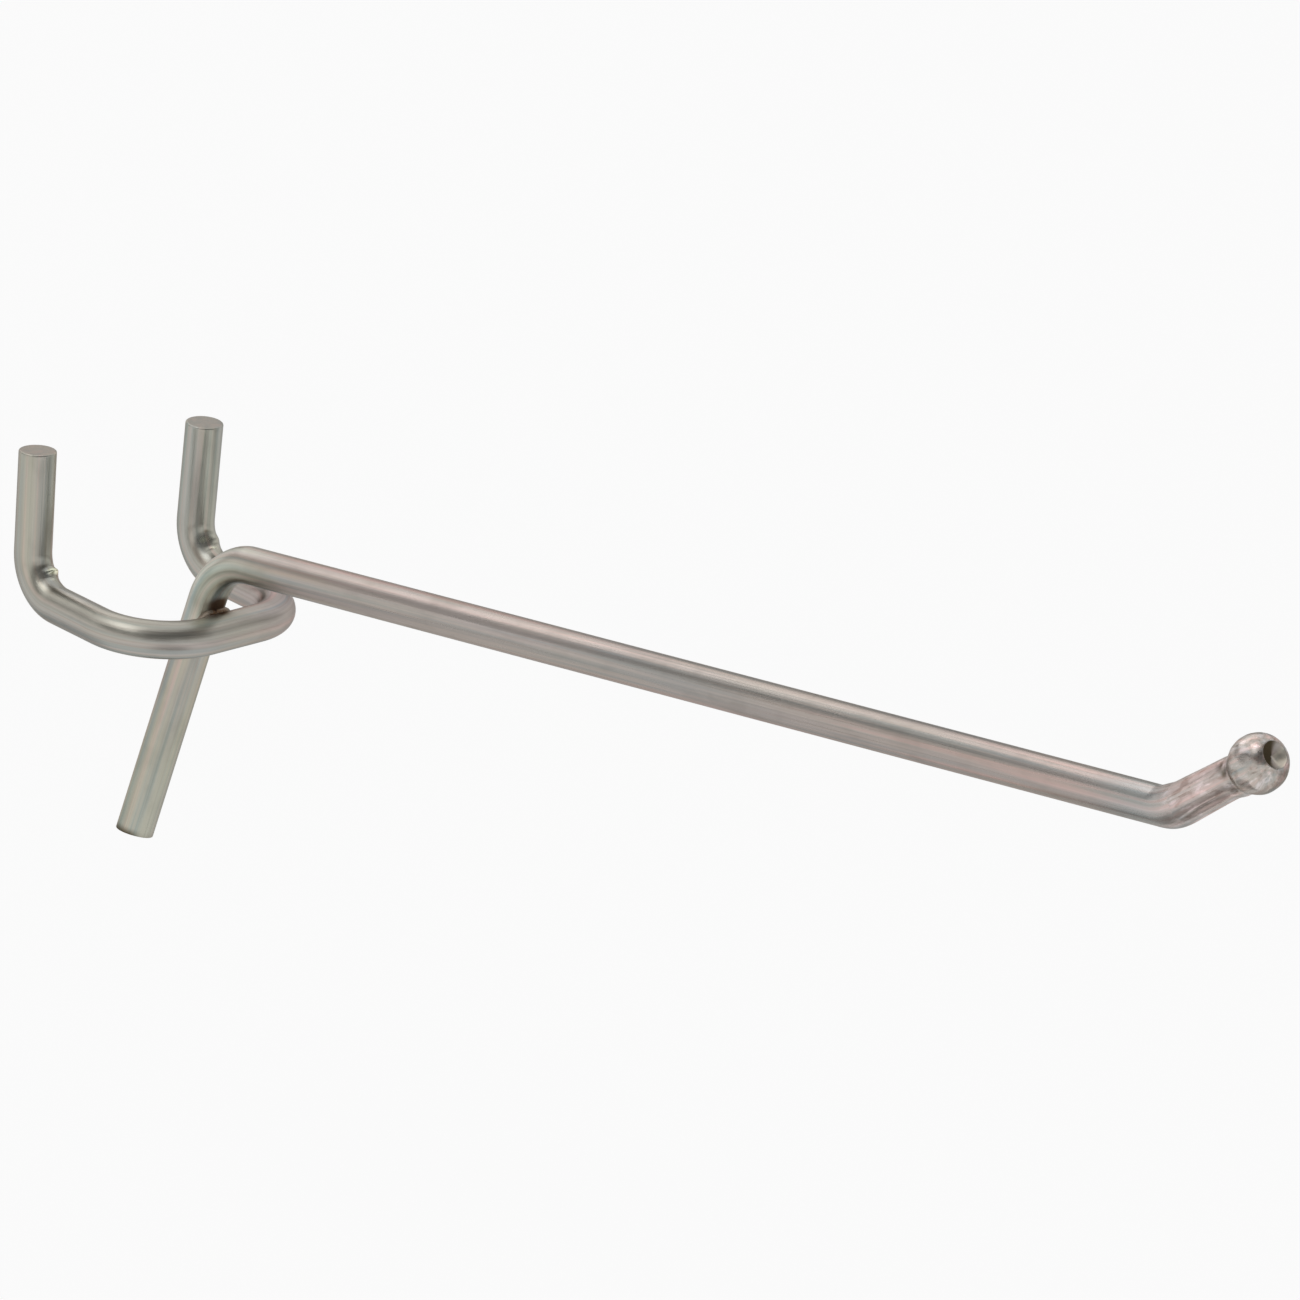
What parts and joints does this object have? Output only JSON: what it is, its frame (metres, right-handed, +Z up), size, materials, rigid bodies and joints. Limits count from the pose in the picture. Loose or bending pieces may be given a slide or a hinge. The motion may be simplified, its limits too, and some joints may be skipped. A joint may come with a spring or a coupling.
{
  "type": "pegboard hook",
  "caption": "Bent wire hook that hangs on a pegboard by its upturned prongs, with a long rising arm, a bracing foot and a ball end.",
  "frame": {"origin": "on the board's front face, midway between its two holes, at the height of the loop wire's axis", "axes": "+Z up, +Y into the board, +X along the board; the arm runs out towards -Y"},
  "size_m": [0.0302, 0.2115, 0.079],
  "materials": {
    "arm_wire": "bright zinc plating, satin, with fine lines along the wire",
    "back_wire": "bright zinc plating, satin, faintly yellow near the bends",
    "weld": "brown heat-tinted weld metal, plated over"
  },
  "bodies": {
    "root": {"arm_wire": "arm_wire", "back_wire": "back_wire", "weld_bead": "weld"}
  },
  "joints": []
}
